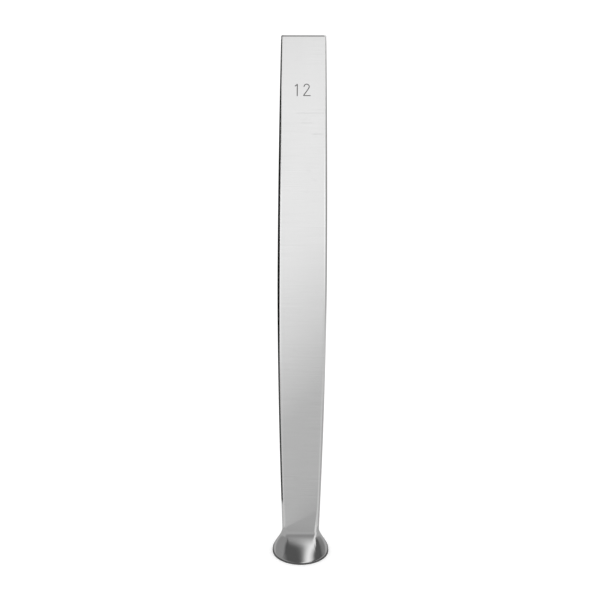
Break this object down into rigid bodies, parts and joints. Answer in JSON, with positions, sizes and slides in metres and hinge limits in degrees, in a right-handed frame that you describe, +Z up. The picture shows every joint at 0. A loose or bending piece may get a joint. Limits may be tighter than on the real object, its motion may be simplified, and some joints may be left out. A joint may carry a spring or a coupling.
{
  "type": "osteotome",
  "caption": "Flat straight osteotome: a slim steel blade with a wedge-ground cutting edge that flares at its base into a round, flat striking head.",
  "frame": {"origin": "centre of the flat striking face that the tool stands on", "axes": "+Z up the axis from the striking face to the cutting edge, X across the width of the blade, Y through its thickness with the numbered side towards -Y"},
  "size_m": [0.015, 0.015, 0.16],
  "materials": {
    "steel": "satin-ground stainless steel, bright on the round head and along the honed cutting edge"
  },
  "bodies": {
    "root": {"osteotome": "steel"}
  },
  "joints": []
}
